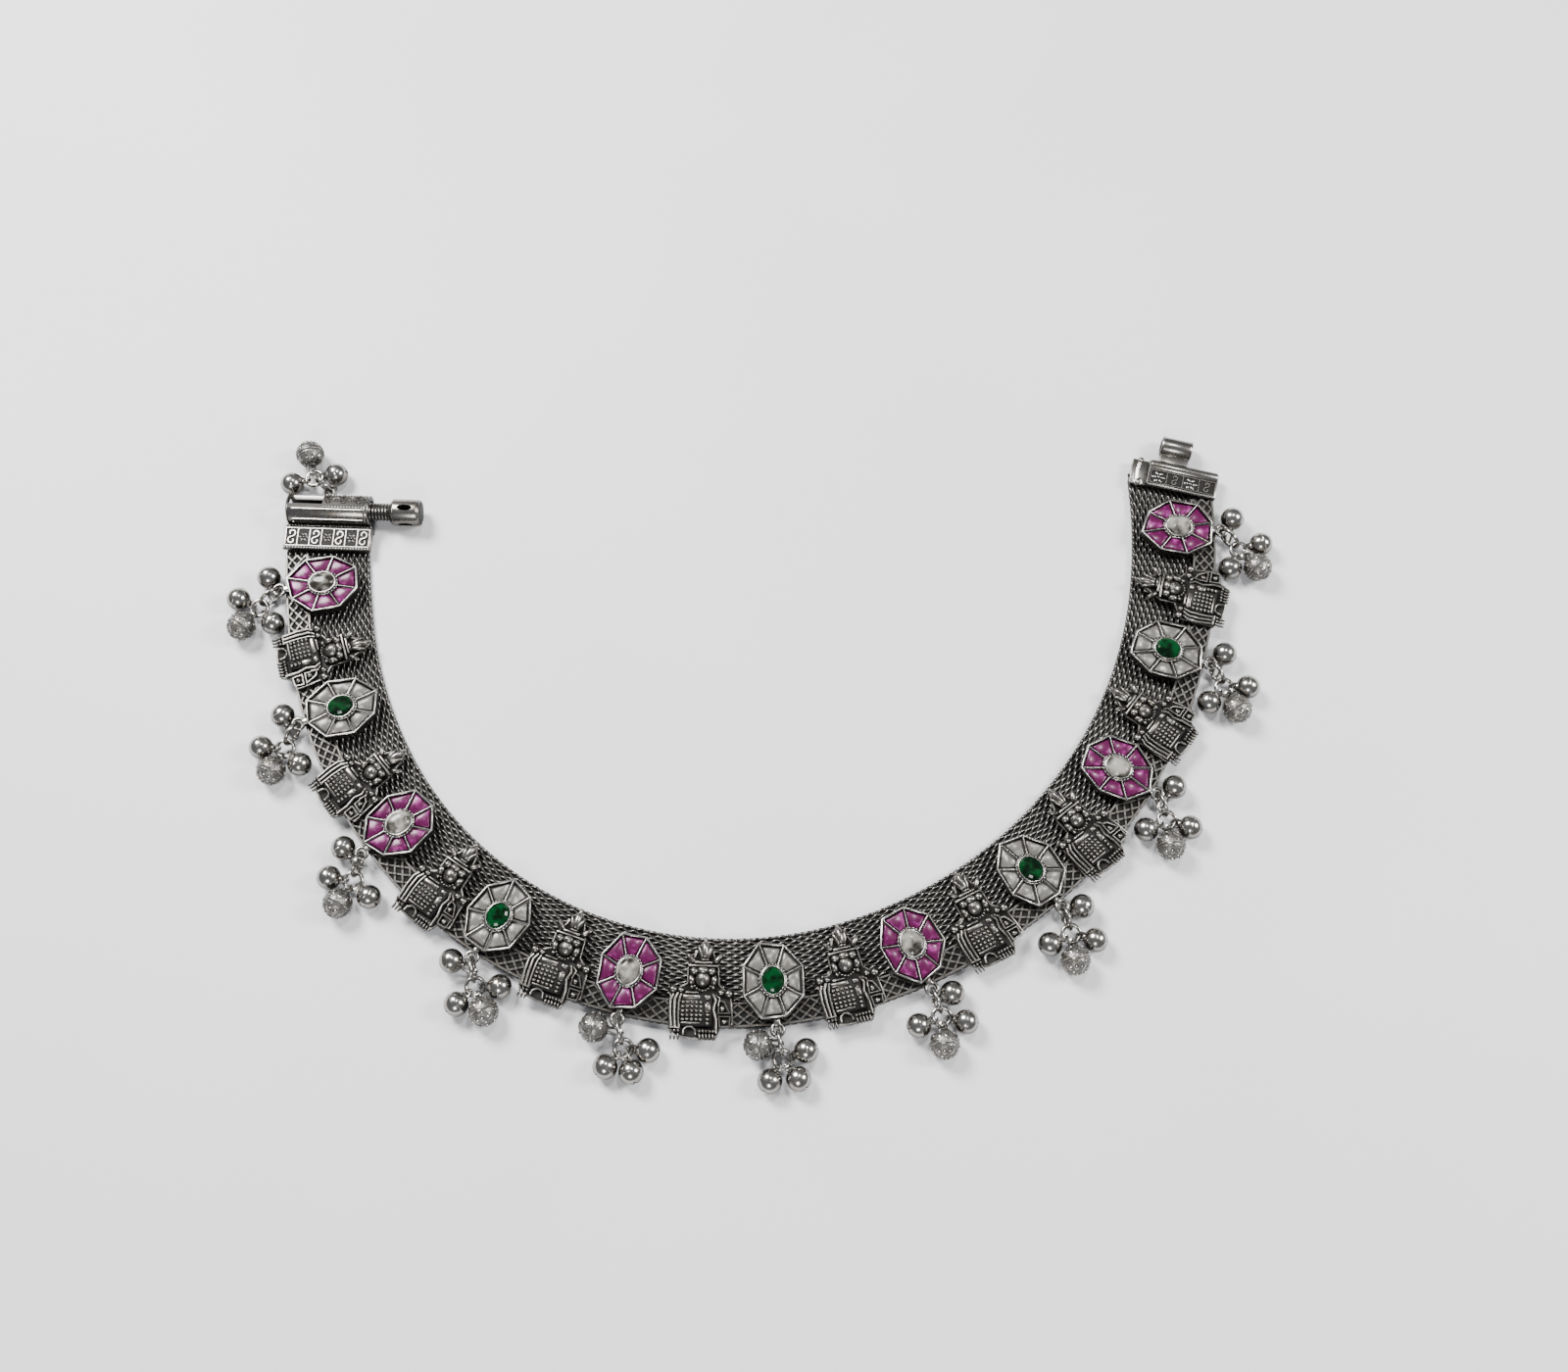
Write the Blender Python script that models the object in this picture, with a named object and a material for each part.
"""Payal anklet of oxidised silver, unfastened and laid flat on its back in an open U.

A woven mesh band carries an openwork edge strip, eleven jewelled medallions, ten cast
figure plaques, a cluster of four bells under each medallion, and a screw clasp.

Every unit is built in a frame of its own on the band: X runs along the band from the
clasp's barrel end, Y points to the band's inner edge, and Z is up from the floor.
"""

import math

import bmesh
import bpy
from mathutils import Matrix, Vector

MM = 0.001

# Fits
CLEARANCE = 0.3 * MM  # between pieces that rest on or pass through each other
JOIN = 0.2 * MM  # how far soldered shapes run into each other
NEAR_WALL = 0.02 * MM  # slope given to a pocket's wall

# Woven band
BAND_WIDTH = 15.0 * MM
BAND_THICKNESS = 1.2 * MM
BAND_EDGE = 0.35 * MM  # chamfer along the band's upper edges
BAND_STEPS = 32

# Units along the band
UNIT_PITCH = 23.8 * MM
FIRST_MARGIN = 7.0 * MM  # from the barrel end's plate to the first medallion's middle
LAST_MARGIN = 7.8 * MM

# Way the band lies: share of its length, heading in degrees
BENDS = (
    (0.000, -85.0),
    (0.056, -81.0),
    (0.170, -61.0),
    (0.360, -22.0),
    (0.550, 16.0),
    (0.740, 49.5),
    (0.916, 80.5),
    (1.000, 92.0),
)

# Openwork strip along the outer edge
STRIP_WIDTH = 4.1 * MM
STRIP_INSET = 0.1 * MM  # from the band's outer edge
STRIP_THICKNESS = 0.5 * MM
STRIP_HOLE = 1.7 * MM  # across the corners of a hole
STRIP_BORDER = 0.7 * MM  # metal above and below a hole
HOLES_PER_GAP = 2  # between a medallion and the figure beside it

# Medallions
MEDALLION_ALONG = 11.0 * MM
MEDALLION_ACROSS = 13.3 * MM
MEDALLION_OUTSET = 0.4 * MM  # towards the outer edge from the band's middle
MEDALLION_HEIGHT = 2.2 * MM
PETALS = 8
HOLE_SIDES = 6
SPOKE_WIDTH = 0.5 * MM
COLLAR_ALONG = 4.2 * MM
COLLAR_ACROSS = 5.0 * MM
COLLAR_RISE = 0.5 * MM
COLLAR_WALL = 0.4 * MM
SOCKET_DEPTH = 0.9 * MM
STONE_SLOPE = 0.75 * MM
STONE_RISE = 0.35 * MM
CORNER_REACH = (1.00, 0.97, 1.03, 0.98, 1.00, 1.03, 0.96, 1.01)  # of the oval, corner by corner

# Stone in each medallion's middle
CENTER_STONE_HEIGHT = 1.7 * MM
GIRDLE_HEIGHT = 0.7 * MM
TABLE_SHARE = 0.55  # of the girdle's width

# Each medallion: the stone in its middle, and how far its outline is turned in degrees
MEDALLIONS = (
    ("opal", 4.0),
    ("green", -14.0),
    ("opal", 12.0),
    ("green", -8.0),
    ("opal", 6.0),
    ("green", -4.0),
    ("opal", 9.0),
    ("green", -12.0),
    ("opal", 16.0),
    ("green", 3.0),
    ("opal", -10.0),
)

# Eyelet at each medallion's foot
WIRE = 0.7 * MM  # thickness of the jump rings' wire
EYELET_WALL = 0.65 * MM
EYELET_THICKNESS = 0.8 * MM

# Cast figure plaques
PLAQUE_THICKNESS = 0.6 * MM  # above the openwork strip
HEAD_RISE = 1.5 * MM
BODY_RISE = 1.1 * MM
BUD_RISE = 1.0 * MM
STUD_RISE = 0.8 * MM
RIB_RISE = 0.6 * MM
CAST_TAPER = 0.35 * MM  # how far a raised form narrows to its top
FIGURE_ALONG = 10.6 * MM
FIGURE_ACROSS = 16.4 * MM
FIGURE_FOOT = 2.1 * MM  # how far the toes stand past the band's outer edge

# Figure's outline and raised forms, as shares of its width and of its height from the toes
FIGURE_OUTLINE = (
    (-0.46, 0.47),
    (-0.46, 0.10),
    (-0.12, 0.00),
    (0.26, 0.00),
    (0.34, 0.12),
    (0.54, 0.15),
    (0.48, 0.45),
    (0.30, 0.55),
    (0.28, 0.72),
    (0.05, 1.02),
    (-0.22, 0.71),
    (-0.21, 0.56),
)
# name, rise, sides, middle along, middle across, half width, half height
FIGURE_FORMS = (
    ("body", BODY_RISE, 6, -0.02, 0.24, 0.29, 0.215),
    ("head", HEAD_RISE, 6, 0.04, 0.60, 0.23, 0.115),
    ("bud", BUD_RISE, 6, 0.05, 0.85, 0.08, 0.10),
    ("left_rib", RIB_RISE, 4, -0.395, 0.23, 0.05, 0.15),
    ("left_stud", STUD_RISE, 4, -0.35, 0.43, 0.07, 0.04),
    ("right_stud", STUD_RISE, 4, 0.37, 0.42, 0.06, 0.04),
)
# Each figure: shift along the band in millimetres, turn in degrees
FIGURES = (
    (0.6, 4.0),
    (0.9, 9.0),
    (0.6, 7.0),
    (0.3, 4.0),
    (0.0, 2.0),
    (0.0, -2.0),
    (0.0, -4.0),
    (-0.3, -8.0),
    (-0.6, -11.0),
    (-0.3, -6.0),
)

# Bells and their rings
PLAIN_BELL = 2.1 * MM  # radius
CARVED_BELL = 2.6 * MM
BELL_SIDES = 10
BELL_TIERS = 4
JUMP_RING = 2.0 * MM  # radius to the middle of the wire
HUB_RING = 1.5 * MM
JUMP_SIDES = 10
HUB_SIDES = 10
WIRE_SIDES = 5
LOOP_SIDES = 4
HUB_HEIGHT = 1.75 * MM
BELL_REACH = 2.0 * MM  # from the middle of the hub ring to a bell's near side
NEAR_REACH = 1.4 * MM  # from the eyelet to the near bell's side
LOOP_WIRE = 0.6 * MM
RING_BITE = 0.15 * MM  # how far rings that touch are sunk into each other

# Each cluster, in degrees positive along the band: the swing of its jump ring from straight
# out, the near bell's direction from the eyelet, the other bells' directions from the hub
# ring, and which of the four is the carved one, counted from the near bell as zero
CLUSTERS = (
    (34.0, -56.0, -30.0, 48.0, 126.0, 2),
    (42.0, -50.0, -22.0, 46.0, 114.0, 2),
    (36.0, -56.0, -45.0, 24.0, 98.0, 2),
    (40.0, -50.0, -12.0, 55.0, 121.0, 2),
    (26.0, -58.0, -30.0, 34.0, 98.0, 0),
    (4.0, -58.0, -36.0, 34.0, 104.0, 0),
    (-4.0, 56.0, -92.0, -20.0, 54.0, 2),
    (-22.0, 52.0, -104.0, -36.0, 34.0, 2),
    (-38.0, 56.0, -122.0, -54.0, 14.0, 2),
    (-44.0, 52.0, -119.0, -51.0, 16.0, 2),
    (-46.0, 50.0, -117.0, -50.0, 18.0, 2),
)
CLASP_CLUSTER = (50.0, None, -80.0, 15.0, 110.0, 2)

# Clasp
PLATE_LENGTH = 15.8 * MM  # across the band
PLATE_DEPTH = 5.0 * MM  # along the band
PLATE_THICKNESS = 0.9 * MM
BACK_WALL = 0.9 * MM
BARREL_END_TURN = -7.0  # degrees from square to the band
KNUCKLE_END_TURN = -16.0
BARREL_RADIUS = 2.8 * MM
BARREL_LENGTH = 14.9 * MM
BORE_RADIUS = 1.95 * MM
BARREL_SIDES = 14
NOTCH_START = 0.4 * MM  # from the barrel's outer end
NECK_LENGTH = 3.7 * MM  # threaded neck that shows outside the barrel
NECK_ENGAGED = 1.6 * MM  # the same neck inside the barrel
PIN_SHANK_RADIUS = 0.9 * MM
PIN_SHANK_LENGTH = 11.5 * MM
KNOB_RADIUS = 2.4 * MM
KNOB_LENGTH = 5.4 * MM
KNOB_EDGE = 0.5 * MM
KNOB_SLOT_LENGTH = 2.6 * MM
KNOB_SLOT_WIDTH = 0.9 * MM
PIN_SIDES = 10
ROLL_RADIUS = 1.1 * MM  # rolled edge of the knuckle end's plate
KNUCKLE_RADIUS = 1.8 * MM
KNUCKLE_BORE = 1.2 * MM
KNUCKLE_LENGTH = 5.6 * MM
KNUCKLE_SHIFT = 0.6 * MM  # towards the band's inner edge
WEB_LENGTH = 1.4 * MM  # between the rolled edge and the knuckle
WEB_THICKNESS = 1.0 * MM
CHEEK_LENGTH = 3.2 * MM  # across the band, the lower part beside the raised plate
CHEEK_THICKNESS = 0.5 * MM
CLASP_EYELET_SHIFT = -0.4 * MM  # towards the band's inner edge from the barrel's middle

# Heights
STRIP_BOTTOM = BAND_THICKNESS + CLEARANCE
STRIP_TOP = STRIP_BOTTOM + STRIP_THICKNESS
UNIT_BOTTOM = BAND_THICKNESS + CLEARANCE
OVER_STRIP = STRIP_TOP + CLEARANCE
MEDALLION_TOP = UNIT_BOTTOM + MEDALLION_HEIGHT
PLAQUE_TOP = OVER_STRIP + PLAQUE_THICKNESS
EYELET_HEIGHT = OVER_STRIP + EYELET_THICKNESS / 2
PLATE_BOTTOM = BAND_THICKNESS + CLEARANCE

# Lengths and places that follow
BAND_LENGTH = FIRST_MARGIN + LAST_MARGIN + UNIT_PITCH * (len(MEDALLIONS) - 1)
STRIP_OUTER = BAND_WIDTH / 2 - STRIP_INSET
STRIP_INNER = STRIP_OUTER - STRIP_WIDTH
EYELET_HOLE = WIRE / 2 + CLEARANCE
EYELET_OUT = BAND_WIDTH / 2 + WIRE / 2 + 1.5 * CLEARANCE
PLATE_BACK = PLATE_DEPTH - BACK_WALL


def under_plate(depth, turn):
    """How far the band's end runs under a turned plate that is open for `depth`."""
    angle = math.radians(abs(turn))
    return depth / math.cos(angle) - BAND_WIDTH / 2 * math.tan(angle) - CLEARANCE


FIRST_TUCK = under_plate(PLATE_BACK, BARREL_END_TURN)
LAST_TUCK = under_plate(PLATE_DEPTH - 1.5 * ROLL_RADIUS, KNUCKLE_END_TURN)
STRIP_START = max(0.0, STRIP_OUTER * math.tan(math.radians(BARREL_END_TURN))) + CLEARANCE
STRIP_LOSS = max(0.0, -STRIP_OUTER * math.tan(math.radians(KNUCKLE_END_TURN))) + CLEARANCE
STRIP_END = BAND_LENGTH - STRIP_LOSS

SILVER = (0.42, 0.40, 0.38, 1.0)
DARK_SILVER = (0.16, 0.15, 0.14, 1.0)
GREEN_GLASS = (0.01, 0.20, 0.06, 1.0)
OPAL_GLASS = (0.62, 0.60, 0.52, 1.0)


def material(name, colour, metallic, roughness):
    """A plain material with one colour."""
    finish = bpy.data.materials.new(name)
    finish.use_nodes = True
    shader = finish.node_tree.nodes["Principled BSDF"]
    shader.inputs["Base Color"].default_value = colour
    shader.inputs["Metallic"].default_value = metallic
    shader.inputs["Roughness"].default_value = roughness
    return finish


def band_frame(along, turn=0.0):
    """Frame of a unit whose middle is `along` metres from the visible band's start."""
    point = Vector((0.0, 0.0, 0.0))
    heading = math.radians(BENDS[0][1])
    left = along
    for (share, head), (next_share, next_head) in zip(BENDS, BENDS[1:]):
        length = (next_share - share) * BAND_LENGTH
        bend = math.radians(next_head - head) / length
        last = next_share == BENDS[-1][0]
        run = min(left, length)
        if left < 0.0:
            run, bend = left, 0.0
        elif last and left > length:
            run = length
        start = math.radians(head)
        heading = start + bend * run
        if abs(bend) > 0.0:
            point.x += (math.sin(heading) - math.sin(start)) / bend
            point.y += (math.cos(start) - math.cos(heading)) / bend
        else:
            point.x += run * math.cos(start)
            point.y += run * math.sin(start)
        left -= run
        if abs(left) < 1e-9:
            break
    point.x += left * math.cos(heading)
    point.y += left * math.sin(heading)
    return Matrix.Translation(point) @ Matrix.Rotation(heading + math.radians(turn), 4, "Z")


def link(name, mesh, finish=None, matrix=None):
    """An object for a mesh, with its material and its place."""
    piece = bpy.data.objects.new(name, mesh)
    bpy.context.scene.collection.objects.link(piece)
    if finish is not None and not mesh.materials:
        mesh.materials.append(finish)
    if matrix is not None:
        piece.matrix_world = matrix
    return piece


def to_mesh(name, bm):
    """A mesh from bmesh data, with its faces pointing out."""
    bmesh.ops.recalc_face_normals(bm, faces=bm.faces)
    mesh = bpy.data.meshes.new(name)
    bm.to_mesh(mesh)
    bm.free()
    return mesh


def smooth(piece, angle=35.0):
    """Shades a round piece smooth, apart from its sharp edges."""
    piece.data.shade_smooth()
    piece.data.set_sharp_from_angle(angle=math.radians(angle))


def loft(sections, closed=False):
    """A closed solid through rings of points, one after the other."""
    bm = bmesh.new()
    rings = [[bm.verts.new(point) for point in section] for section in sections]
    pairs = list(zip(rings, rings[1:]))
    if closed:
        pairs.append((rings[-1], rings[0]))
    for lower, upper in pairs:
        for i, vertex in enumerate(lower):
            j = (i + 1) % len(lower)
            bm.faces.new((vertex, lower[j], upper[j], upper[i]))
    if not closed:
        bm.faces.new(list(reversed(rings[0])))
        bm.faces.new(rings[-1])
    return bm


def prism(outline, bottom, top, taper=0.0):
    """An upright prism; its top edge is drawn in towards its middle by `taper`."""
    middle = sum((Vector(point) for point in outline), Vector((0.0, 0.0))) / len(outline)
    upper = []
    for point in outline:
        out = Vector(point) - middle
        upper.append(middle + out * max(0.1, 1.0 - taper / max(out.length, taper)))
    lower_ring = [(x, y, bottom) for x, y in outline]
    upper_ring = [(x, y, top) for x, y in upper]
    return loft([lower_ring, upper_ring])


def box(low, high):
    """A box between two corners."""
    outline = [(low[0], low[1]), (high[0], low[1]), (high[0], high[1]), (low[0], high[1])]
    return prism(outline, low[2], high[2])


def rod(start, end, radius, sides, end_radius=None):
    """A round bar between two points."""
    start, end = Vector(start), Vector(end)
    way = (end - start).normalized()
    side = way.orthogonal().normalized()
    other = way.cross(side)
    sections = []
    for point, reach in ((start, radius), (end, end_radius or radius)):
        ring = []
        for k in range(sides):
            angle = 2 * math.pi * (k + 0.5) / sides
            ring.append(point + reach * (side * math.cos(angle) + other * math.sin(angle)))
        sections.append(ring)
    return loft(sections)


def wire_ring(middle, radius, wire, axis, sides):
    """A ring of round wire."""
    middle, axis = Vector(middle), Vector(axis).normalized()
    side = axis.orthogonal().normalized()
    other = axis.cross(side)
    sections = []
    for k in range(sides):
        angle = 2 * math.pi * k / sides
        out = side * math.cos(angle) + other * math.sin(angle)
        section = []
        for j in range(WIRE_SIDES):
            turn = 2 * math.pi * j / WIRE_SIDES
            reach = wire / 2
            section.append(
                middle + out * (radius + reach * math.cos(turn)) + axis * reach * math.sin(turn)
            )
        sections.append(section)
    return loft(sections, closed=True)


def ball(middle, radius, angle):
    """A round bell with one of its sides turned to face `angle`."""
    bm = bmesh.new()
    turn = Matrix.Rotation(angle + math.pi / BELL_SIDES, 4, "Z")
    bmesh.ops.create_uvsphere(
        bm,
        u_segments=BELL_SIDES,
        v_segments=BELL_TIERS,
        radius=radius,
        matrix=Matrix.Translation(middle) @ turn,
    )
    return bm


def shaped(name, shapes, cutters=()):
    """One closed mesh: overlapping shapes fused, and the cutters taken away from them."""
    scene = bpy.context.scene.collection
    base = link(name, to_mesh(name, shapes[0]))
    made = [base]
    for operation, group in (("UNION", shapes[1:]), ("DIFFERENCE", cutters)):
        if not group:
            continue
        pool = bpy.data.collections.new(name + "_" + operation.lower())
        scene.children.link(pool)
        for bm in group:
            part = bpy.data.objects.new(name + "_shape", to_mesh(name + "_shape", bm))
            pool.objects.link(part)
            made.append(part)
        step = base.modifiers.new(operation.title(), "BOOLEAN")
        step.operation = operation
        step.solver = "EXACT"
        step.operand_type = "COLLECTION"
        step.collection = pool
    bpy.context.view_layer.update()
    graph = bpy.context.evaluated_depsgraph_get()
    mesh = bpy.data.meshes.new_from_object(base.evaluated_get(graph))
    for part in made:
        data = part.data
        bpy.data.objects.remove(part)
        bpy.data.meshes.remove(data)
    for operation in ("_union", "_difference"):
        if name + operation in bpy.data.collections:
            bpy.data.collections.remove(bpy.data.collections[name + operation])
    mesh.materials.clear()
    mesh.name = name
    return mesh


def oval(along, across, count, turn=0.0, reach=None):
    """Points round an oval, with a factor for each where its corners are uneven."""
    points = []
    for k in range(count):
        angle = 2 * math.pi * (k + 0.5) / count + math.radians(turn)
        factor = reach[k % len(reach)] if reach else 1.0
        points.append(
            (along / 2 * factor * math.cos(angle), across / 2 * factor * math.sin(angle))
        )
    return points


def band_solid(name, finish):
    """The woven band, from under one clasp plate to under the other."""
    half = BAND_WIDTH / 2
    section = (
        (-half, 0.0),
        (half, 0.0),
        (half, BAND_THICKNESS - BAND_EDGE),
        (half - BAND_EDGE, BAND_THICKNESS),
        (BAND_EDGE - half, BAND_THICKNESS),
        (-half, BAND_THICKNESS - BAND_EDGE),
    )
    start, end = -FIRST_TUCK, BAND_LENGTH + LAST_TUCK
    rings = []
    for k in range(BAND_STEPS + 1):
        frame = band_frame(start + (end - start) * k / BAND_STEPS)
        rings.append([frame @ Vector((0.0, y, z)) for y, z in section])
    piece = link(name, to_mesh(name, loft(rings)), finish)
    smooth(piece)
    return piece


def strip_cells():
    """The strip's cells along the band: start, end and whether the cell is pierced."""
    width = STRIP_HOLE + STRIP_BORDER
    pierced = []
    for index in range(len(MEDALLIONS)):
        middle = FIRST_MARGIN + index * UNIT_PITCH
        for side in (-1, 1):
            for k in range(HOLES_PER_GAP):
                reach = MEDALLION_ALONG / 2 - STRIP_BORDER + width * (k + 0.5)
                place = middle + side * reach
                if STRIP_START < place - width and place + width < STRIP_END:
                    pierced.append(place - width / 2)
    cells = []
    reached = STRIP_START
    for low in sorted(pierced):
        if low - reached > NEAR_WALL:
            cells.append((reached, low, False))
        cells.append((low, low + width, True))
        reached = low + width
    cells.append((reached, STRIP_END, False))
    return cells


def edge_strip(name, finish):
    """The cast openwork strip: a bar along the outer edge, pierced between the units."""
    bm = bmesh.new()
    levels = (STRIP_BOTTOM, STRIP_TOP)
    middle = (STRIP_OUTER + STRIP_INNER) / 2
    reach = STRIP_WIDTH / 2 - STRIP_BORDER

    def put(along, out):
        frame = band_frame(along)
        return [bm.verts.new(frame @ Vector((0.0, -out, z))) for z in levels]

    def cover(*corners):
        bm.faces.new([corner[1] for corner in corners])
        bm.faces.new([corner[0] for corner in reversed(corners)])

    def wall(first, second):
        bm.faces.new((first[0], second[0], second[1], first[1]))

    outer, inner = put(STRIP_START, STRIP_OUTER), put(STRIP_START, STRIP_INNER)
    wall(inner, outer)
    for low, high, pierced in strip_cells():
        next_outer, next_inner = put(high, STRIP_OUTER), put(high, STRIP_INNER)
        if pierced:
            centre = (low + high) / 2
            half = STRIP_HOLE / 2
            west, east = put(centre - half, middle), put(centre + half, middle)
            south, north = put(centre, middle + reach), put(centre, middle - reach)
            cover(outer, next_outer, south)
            cover(next_outer, east, south)
            cover(next_outer, next_inner, east)
            cover(next_inner, north, east)
            cover(next_inner, inner, north)
            cover(inner, west, north)
            cover(inner, outer, west)
            cover(outer, south, west)
            for first, second in ((west, south), (south, east), (east, north), (north, west)):
                wall(second, first)
        else:
            cover(outer, next_outer, next_inner, inner)
        wall(outer, next_outer)
        wall(next_inner, inner)
        outer, inner = next_outer, next_inner
    wall(outer, inner)
    return link(name, to_mesh(name, bm), finish)


def strip_relief(reach_along, turn=0.0):
    """Cutter for the underside of what crosses the strip, clear of the curving strip."""
    tightest = min(
        BAND_LENGTH * (b[0] - a[0]) / abs(math.radians(b[1] - a[1]))
        for a, b in zip(BENDS, BENDS[1:])
    )
    sag = reach_along**2 / (2 * tightest)
    near = STRIP_INNER - CLEARANCE - sag - reach_along * math.tan(math.radians(turn))
    return box((-BAND_WIDTH, -2 * BAND_WIDTH, -BAND_THICKNESS), (BAND_WIDTH, -near, OVER_STRIP))


def medallion_mesh(name, turn):
    """A stone setting: spokes, a socket in the middle, petal stones and an eyelet."""
    rim = oval(MEDALLION_ALONG, MEDALLION_ACROSS, PETALS, turn, CORNER_REACH)
    collar = oval(COLLAR_ALONG, COLLAR_ACROSS, PETALS, turn)
    bm = bmesh.new()
    low = [bm.verts.new((x, y - MEDALLION_OUTSET, UNIT_BOTTOM)) for x, y in rim]
    high = [bm.verts.new((x, y - MEDALLION_OUTSET, MEDALLION_TOP)) for x, y in rim]
    ring = [bm.verts.new((x, y - MEDALLION_OUTSET, MEDALLION_TOP)) for x, y in collar]
    bm.faces.new(list(reversed(low)))
    petals = []
    for k in range(PETALS):
        j = (k + 1) % PETALS
        bm.faces.new((low[k], low[j], high[j], high[k]))
        petals.append(bm.faces.new((high[k], high[j], ring[j], ring[k])))
    middle = bm.faces.new(ring)
    bm.normal_update()
    inset = bmesh.ops.inset_individual
    inset(bm, faces=petals, thickness=SPOKE_WIDTH / 2, use_even_offset=True)
    inset(bm, faces=petals, thickness=STONE_SLOPE, depth=STONE_RISE, use_even_offset=True)
    inset(bm, faces=[middle], thickness=NEAR_WALL, depth=COLLAR_RISE, use_even_offset=True)
    inset(bm, faces=[middle], thickness=COLLAR_WALL, use_even_offset=True)
    inset(bm, faces=[middle], thickness=NEAR_WALL, depth=-SOCKET_DEPTH, use_even_offset=True)
    half = EYELET_HOLE + EYELET_WALL
    tab = (
        (-half, -MEDALLION_ACROSS / 3),
        (-half, -EYELET_OUT),
        (-half / 2, -EYELET_OUT - half),
        (half / 2, -EYELET_OUT - half),
        (half, -EYELET_OUT),
        (half, -MEDALLION_ACROSS / 3),
    )
    eyelet = prism(tab, OVER_STRIP, OVER_STRIP + EYELET_THICKNESS)
    hole = rod(
        (0.0, -EYELET_OUT, 0.0),
        (0.0, -EYELET_OUT, MEDALLION_TOP),
        EYELET_HOLE,
        HOLE_SIDES,
    )
    relief = strip_relief(MEDALLION_ALONG / 2)
    return shaped(name, [bm, eyelet], [relief, hole])


def center_stone_mesh(name, kind, turn):
    """The stone in a medallion's socket: a cut one with a table, or a rounded one."""
    floor = MEDALLION_TOP + COLLAR_RISE - SOCKET_DEPTH + CLEARANCE
    shrink = 2 * (COLLAR_WALL + CLEARANCE) + 3 * NEAR_WALL
    along, across = COLLAR_ALONG - shrink, COLLAR_ACROSS - shrink
    if kind == "green":
        tiers = ((1.0, 0.0), (1.0, GIRDLE_HEIGHT), (TABLE_SHARE, CENTER_STONE_HEIGHT))
    else:
        crown = CENTER_STONE_HEIGHT - GIRDLE_HEIGHT
        tiers = (
            (1.0, 0.0),
            (1.0, GIRDLE_HEIGHT),
            (0.80, GIRDLE_HEIGHT + 0.6 * crown),
            (0.40, CENTER_STONE_HEIGHT),
        )
    sections = []
    for share, height in tiers:
        ring = oval(along * share, across * share, PETALS, turn)
        sections.append([(x, y - MEDALLION_OUTSET, floor + height) for x, y in ring])
    return to_mesh(name, loft(sections))


def figure_mesh(name):
    """A cast figure on its plaque: bud, crowned head, body, studs and a rib."""
    foot = -BAND_WIDTH / 2 - FIGURE_FOOT

    def at(share_along, share_across):
        return (share_along * FIGURE_ALONG, foot + share_across * FIGURE_ACROSS)

    shapes = [prism([at(x, y) for x, y in FIGURE_OUTLINE], UNIT_BOTTOM, PLAQUE_TOP)]
    for _, rise, sides, x, y, half_along, half_across in FIGURE_FORMS:
        middle_x, middle_y = at(x, y)
        ring = oval(2 * half_along * FIGURE_ALONG, 2 * half_across * FIGURE_ACROSS, sides)
        grow = 1.0 / math.cos(math.pi / sides)
        outline = [(middle_x + px * grow, middle_y + py * grow) for px, py in ring]
        shapes.append(prism(outline, PLAQUE_TOP - JOIN, PLAQUE_TOP + rise, CAST_TAPER))
    most_turned = max(abs(turn) for _, turn in FIGURES)
    relief = strip_relief(FIGURE_ALONG / 2, most_turned)
    return shaped(name, shapes, [relief])


def cluster_mesh(name, hole, out, row):
    """A jump ring through an eyelet, a hub ring on it and their bells, as one cast piece.

    `out` is the direction straight out from the eyelet, and `row` is one of CLUSTERS.
    """
    swing, near, first, second, third, carved = row
    along = Vector((-out.y, out.x, 0.0))
    up = Vector((0.0, 0.0, 1.0))

    def way(degrees):
        angle = math.radians(degrees)
        return out * math.cos(angle) + along * math.sin(angle)

    def size(index):
        return CARVED_BELL if index == carved else PLAIN_BELL

    ring_way = way(swing)
    jump = hole + ring_way * JUMP_RING + up * EYELET_HEIGHT
    drop = EYELET_HEIGHT - HUB_HEIGHT
    level_reach = math.sqrt(JUMP_RING**2 - drop**2)
    hub = jump + ring_way * (level_reach - WIRE + RING_BITE + HUB_RING) - up * drop
    shapes = [
        wire_ring(jump, JUMP_RING, WIRE, ring_way.cross(up), JUMP_SIDES),
        wire_ring(hub, HUB_RING, WIRE, up, HUB_SIDES),
    ]
    for index, degrees in enumerate((first, second, third), start=1):
        radius = size(index)
        bell_way = way(degrees)
        middle = hub + bell_way * (BELL_REACH + radius)
        middle.z = radius
        shapes.append(ball(middle, radius, math.atan2(bell_way.y, bell_way.x)))
        stop = middle - bell_way * radius * 0.75
        stop.z = HUB_HEIGHT
        shapes.append(rod(hub + bell_way * (HUB_RING - WIRE / 2), stop, LOOP_WIRE / 2, LOOP_SIDES))
    if near is not None:
        radius = size(0)
        middle = hole + way(near) * (NEAR_REACH + radius)
        middle.z = radius
        shapes.append(ball(middle, radius, 0.0))
        foot = jump - up * (JUMP_RING - JOIN)
        stop = Vector((middle.x, middle.y, foot.z))
        stop += (foot - stop).normalized() * radius * 0.5
        shapes.append(rod(foot, stop, LOOP_WIRE / 2, LOOP_SIDES))
    return shaped(name, shapes)


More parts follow.
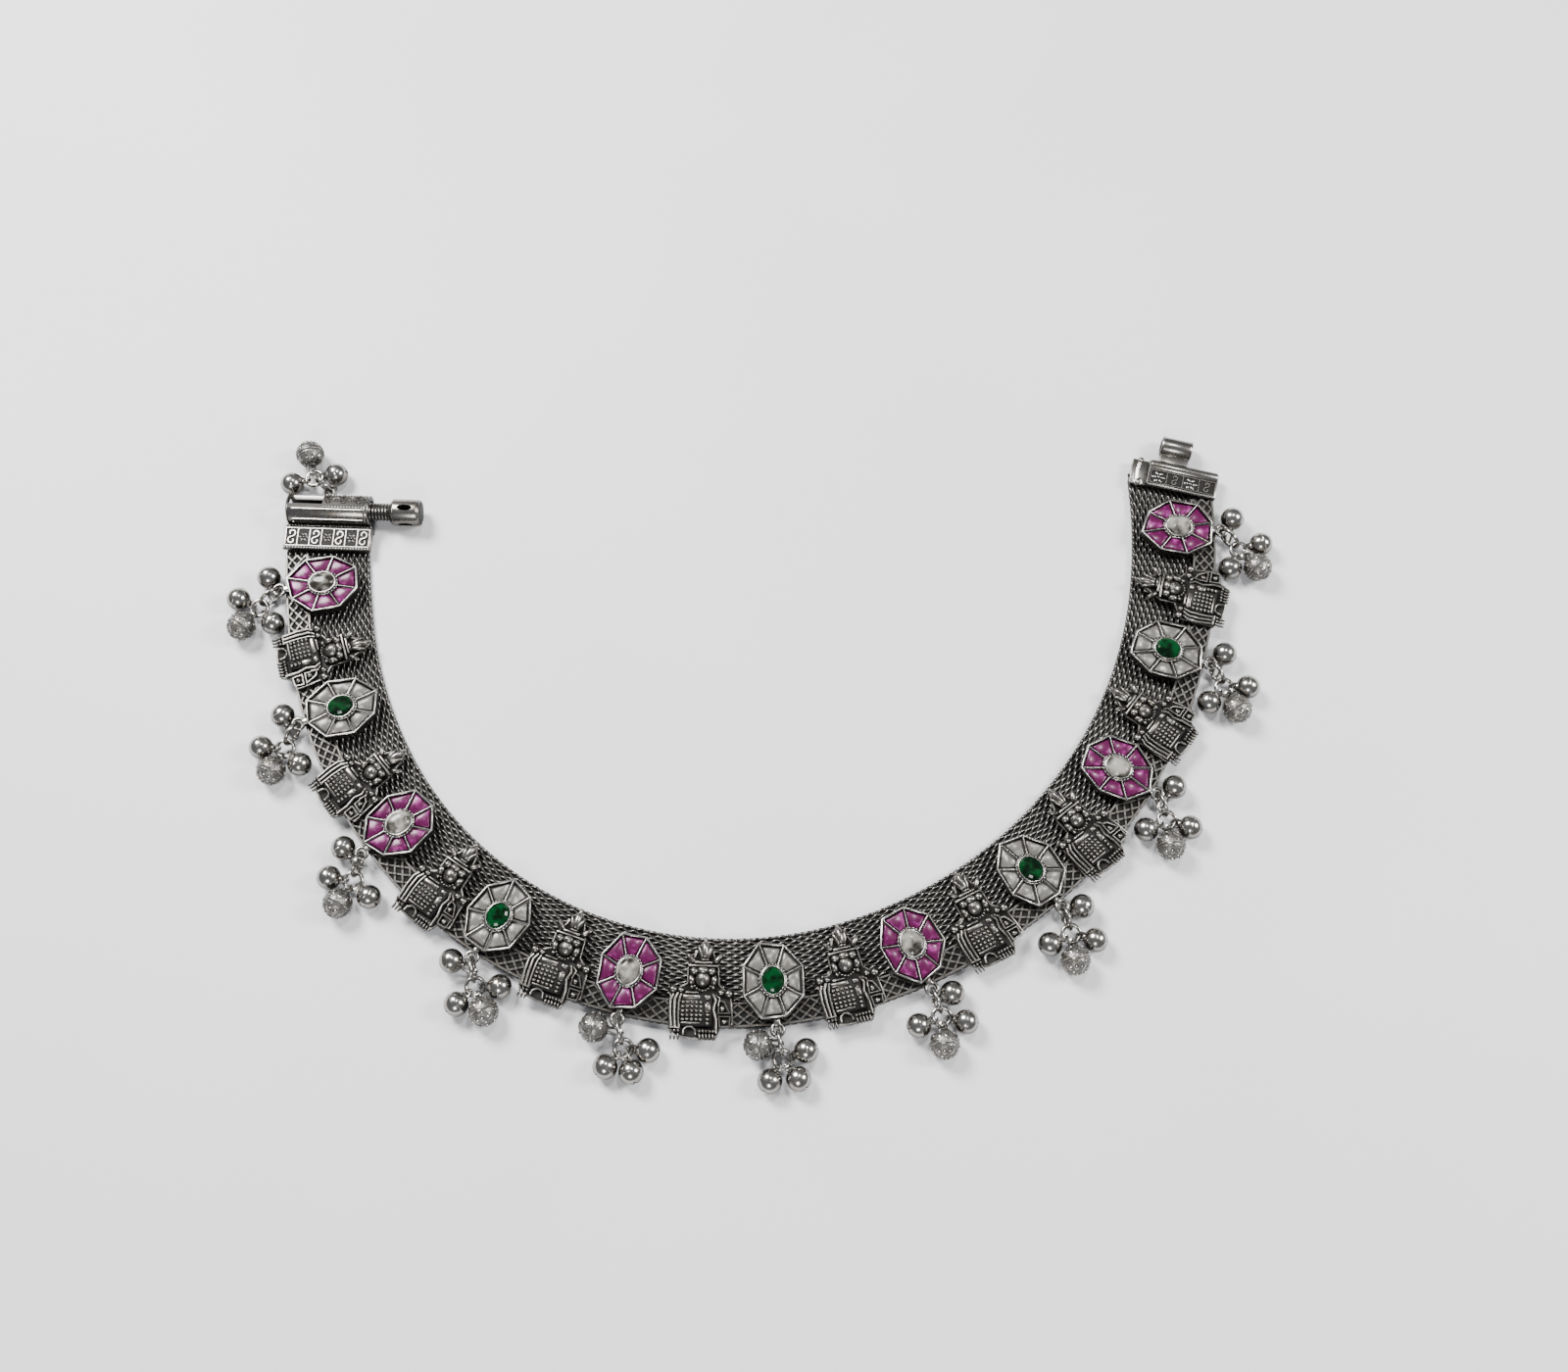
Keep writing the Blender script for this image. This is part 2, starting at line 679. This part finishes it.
def plate_shape(sign, sections):
    """An end plate, bent down behind the band's end.

    `sign` is the direction in which it points off the band, and `sections` are places across
    the band with the plate's thickness there.
    """
    rings = []
    for place, thickness in sections:
        top = PLATE_BOTTOM + thickness
        profile = (
            (0.0, PLATE_BOTTOM),
            (PLATE_BACK, PLATE_BOTTOM),
            (PLATE_BACK, 0.0),
            (PLATE_DEPTH, 0.0),
            (PLATE_DEPTH, top),
            (0.0, top),
        )
        rings.append([(sign * x, place, z) for x, z in profile])
    return loft(rings)


def barrel_end(name, finish, frame):
    """The left end: plate, notched barrel and the eyelet of the clasp's own bells."""
    axis_x = -(PLATE_DEPTH + BARREL_RADIUS - JOIN)
    half = BARREL_LENGTH / 2
    centre = BARREL_RADIUS
    barrel = rod((axis_x, -half, centre), (axis_x, half, centre), BARREL_RADIUS, BARREL_SIDES)
    bore = rod(
        (axis_x, -half - JOIN, centre),
        (axis_x, half + JOIN, centre),
        BORE_RADIUS,
        BARREL_SIDES,
    )
    notch = box(
        (axis_x - 2 * BARREL_RADIUS, -half + NOTCH_START, centre),
        (
            axis_x,
            -half + NOTCH_START + KNUCKLE_LENGTH + 2 * CLEARANCE,
            centre + 2 * BARREL_RADIUS,
        ),
    )
    reach = EYELET_HOLE + EYELET_WALL
    eye_x = axis_x - BARREL_RADIUS - EYELET_HOLE - CLEARANCE
    low = EYELET_HEIGHT - EYELET_THICKNESS / 2
    tab = [
        (axis_x - BORE_RADIUS - NEAR_WALL, CLASP_EYELET_SHIFT + reach),
        (eye_x, CLASP_EYELET_SHIFT + reach),
        (eye_x - reach, CLASP_EYELET_SHIFT + reach / 2),
        (eye_x - reach, CLASP_EYELET_SHIFT - reach / 2),
        (eye_x, CLASP_EYELET_SHIFT - reach),
        (axis_x - BORE_RADIUS - NEAR_WALL, CLASP_EYELET_SHIFT - reach),
    ]
    eyelet = prism(tab, low, low + EYELET_THICKNESS)
    hole = rod(
        (eye_x, CLASP_EYELET_SHIFT, 0.0),
        (eye_x, CLASP_EYELET_SHIFT, 2 * EYELET_HEIGHT),
        EYELET_HOLE,
        HOLE_SIDES,
    )
    ends = (-PLATE_LENGTH / 2, PLATE_LENGTH / 2)
    plate = plate_shape(-1.0, [(end, PLATE_THICKNESS) for end in ends])
    mesh = shaped(name, [plate, barrel, eyelet], [bore, notch, hole])
    piece = link(name, mesh, finish, frame)
    smooth(piece)
    return piece, axis_x, eye_x


def pin_shapes():
    """The screw pin along +Y, with its origin where its knob's neck leaves the barrel."""
    knob_start = NECK_LENGTH
    knob_end = NECK_LENGTH + KNOB_LENGTH
    neck_radius = BORE_RADIUS - CLEARANCE
    neck = rod((0.0, -NECK_ENGAGED, 0.0), (0.0, knob_start + JOIN, 0.0), neck_radius, PIN_SIDES)
    shank = rod(
        (0.0, -NECK_ENGAGED - PIN_SHANK_LENGTH, 0.0),
        (0.0, -NECK_ENGAGED + JOIN, 0.0),
        PIN_SHANK_RADIUS,
        PIN_SIDES,
    )
    sections = []
    for y, radius in (
        (knob_start, KNOB_RADIUS - KNOB_EDGE),
        (knob_start + KNOB_EDGE, KNOB_RADIUS),
        (knob_end - KNOB_EDGE, KNOB_RADIUS),
        (knob_end, KNOB_RADIUS - KNOB_EDGE),
    ):
        ring = []
        for k in range(PIN_SIDES):
            angle = 2 * math.pi * (k + 0.5) / PIN_SIDES
            ring.append((radius * math.cos(angle), y, radius * math.sin(angle)))
        sections.append(ring)
    knob = loft(sections)
    middle = (knob_start + knob_end) / 2
    slots = []
    for turn in (45.0, 135.0):
        slot = box(
            (-2 * KNOB_RADIUS, middle - KNOB_SLOT_LENGTH / 2, -KNOB_SLOT_WIDTH / 2),
            (2 * KNOB_RADIUS, middle + KNOB_SLOT_LENGTH / 2, KNOB_SLOT_WIDTH / 2),
        )
        bmesh.ops.transform(
            slot,
            matrix=Matrix.Rotation(math.radians(turn), 4, "Y"),
            verts=slot.verts,
        )
        slots.append(slot)
    return [neck, shank, knob], slots


def knuckle_end(name, finish, frame):
    """The right end: plate with a rolled edge, cheek, and the knuckle that takes the pin."""
    low = -PLATE_LENGTH / 2
    step = PLATE_LENGTH / 2 - CHEEK_LENGTH
    sections = (
        (low, PLATE_THICKNESS),
        (step, PLATE_THICKNESS),
        (step + NEAR_WALL, CHEEK_THICKNESS),
        (PLATE_LENGTH / 2, CHEEK_THICKNESS),
    )
    plate = plate_shape(1.0, sections)
    roll_x = PLATE_DEPTH - ROLL_RADIUS / 2
    roll_z = PLATE_BOTTOM + PLATE_THICKNESS - ROLL_RADIUS / 2
    roll = rod(
        (roll_x, low + JOIN, roll_z),
        (roll_x, step - JOIN, roll_z),
        ROLL_RADIUS,
        PIN_SIDES,
    )
    knuckle_x = roll_x + ROLL_RADIUS + WEB_LENGTH + KNUCKLE_RADIUS
    low_y = KNUCKLE_SHIFT - KNUCKLE_LENGTH / 2
    high_y = low_y + KNUCKLE_LENGTH
    centre = KNUCKLE_RADIUS
    knuckle = rod((knuckle_x, low_y, centre), (knuckle_x, high_y, centre), KNUCKLE_RADIUS, PIN_SIDES)
    bore = rod(
        (knuckle_x, low_y - JOIN, centre),
        (knuckle_x, high_y + JOIN, centre),
        KNUCKLE_BORE,
        PIN_SIDES,
    )
    web = box(
        (roll_x, low_y + JOIN, roll_z - WEB_THICKNESS / 2),
        (knuckle_x - KNUCKLE_BORE - JOIN, high_y - JOIN, roll_z + WEB_THICKNESS / 2),
    )
    mesh = shaped(name, [plate, roll, knuckle, web], [bore])
    piece = link(name, mesh, finish, frame)
    smooth(piece)
    return piece


def build():
    """Builds the whole anklet and centres it over the origin."""
    for old in list(bpy.data.objects):
        bpy.data.objects.remove(old)

    woven = material("woven_silver", SILVER, 1.0, 0.42)
    cast = material("cast_silver", SILVER, 1.0, 0.35)
    dark = material("oxidised_silver", DARK_SILVER, 1.0, 0.50)
    setting = material("pink_petal_setting", (0.36, 0.10, 0.28, 1.0), 0.3, 0.25)
    clear_setting = material("clear_petal_setting", (0.50, 0.47, 0.44, 1.0), 0.5, 0.25)
    green = material("green_glass", GREEN_GLASS, 0.0, 0.08)
    opal = material("opal_glass", OPAL_GLASS, 0.0, 0.12)
    bright = material("bright_silver", (0.55, 0.53, 0.50, 1.0), 1.0, 0.22)

    pieces = [band_solid("mesh_band", woven), edge_strip("edge_lattice", dark)]

    for index, (kind, turn) in enumerate(MEDALLIONS):
        number = f"{index + 1:02d}"
        frame = band_frame(FIRST_MARGIN + index * UNIT_PITCH)
        finish = clear_setting if kind == "green" else setting
        mesh = medallion_mesh("medallion_" + number, turn)
        pieces.append(link("medallion_" + number, mesh, finish, frame))
        mesh = center_stone_mesh("center_stone_" + number, kind, turn)
        stone = link("center_stone_" + number, mesh, green if kind == "green" else opal, frame)
        if kind != "green":
            smooth(stone, 50.0)
        pieces.append(stone)
        hole = Vector((0.0, -EYELET_OUT, 0.0))
        out = Vector((0.0, -1.0, 0.0))
        mesh = cluster_mesh("bell_cluster_" + number, hole, out, CLUSTERS[index])
        cluster = link("bell_cluster_" + number, mesh, bright, frame)
        smooth(cluster, 50.0)
        pieces.append(cluster)

    figure = figure_mesh("figure")
    for index, (shift, turn) in enumerate(FIGURES):
        along = FIRST_MARGIN + (index + 0.5) * UNIT_PITCH + shift * MM
        pieces.append(link(f"figure_{index + 1:02d}", figure, cast, band_frame(along, turn)))

    left = band_frame(0.0, BARREL_END_TURN)
    piece, axis_x, eye_x = barrel_end("clasp_barrel", cast, left)
    pieces.append(piece)
    shapes, slots = pin_shapes()
    place = left @ Matrix.Translation((axis_x, BARREL_LENGTH / 2, BARREL_RADIUS))
    pin = link("clasp_pin", shaped("clasp_pin", shapes, slots), bright, place)
    smooth(pin)
    pieces.append(pin)
    hole = Vector((eye_x, CLASP_EYELET_SHIFT, 0.0))
    mesh = cluster_mesh("clasp_bells", hole, Vector((-1.0, 0.0, 0.0)), CLASP_CLUSTER)
    cluster = link("clasp_bells", mesh, bright, left)
    smooth(cluster, 50.0)
    pieces.append(cluster)
    right = band_frame(BAND_LENGTH, KNUCKLE_END_TURN)
    pieces.append(knuckle_end("clasp_knuckle", cast, right))

    bpy.context.view_layer.update()
    corners = [p.matrix_world @ v.co for p in pieces for v in p.data.vertices]
    middle_x = (min(c.x for c in corners) + max(c.x for c in corners)) / 2
    middle_y = (min(c.y for c in corners) + max(c.y for c in corners)) / 2
    centre = Matrix.Translation((-middle_x, -middle_y, 0.0))
    for piece in pieces:
        piece.matrix_world = centre @ piece.matrix_world
    bpy.context.view_layer.update()


build()
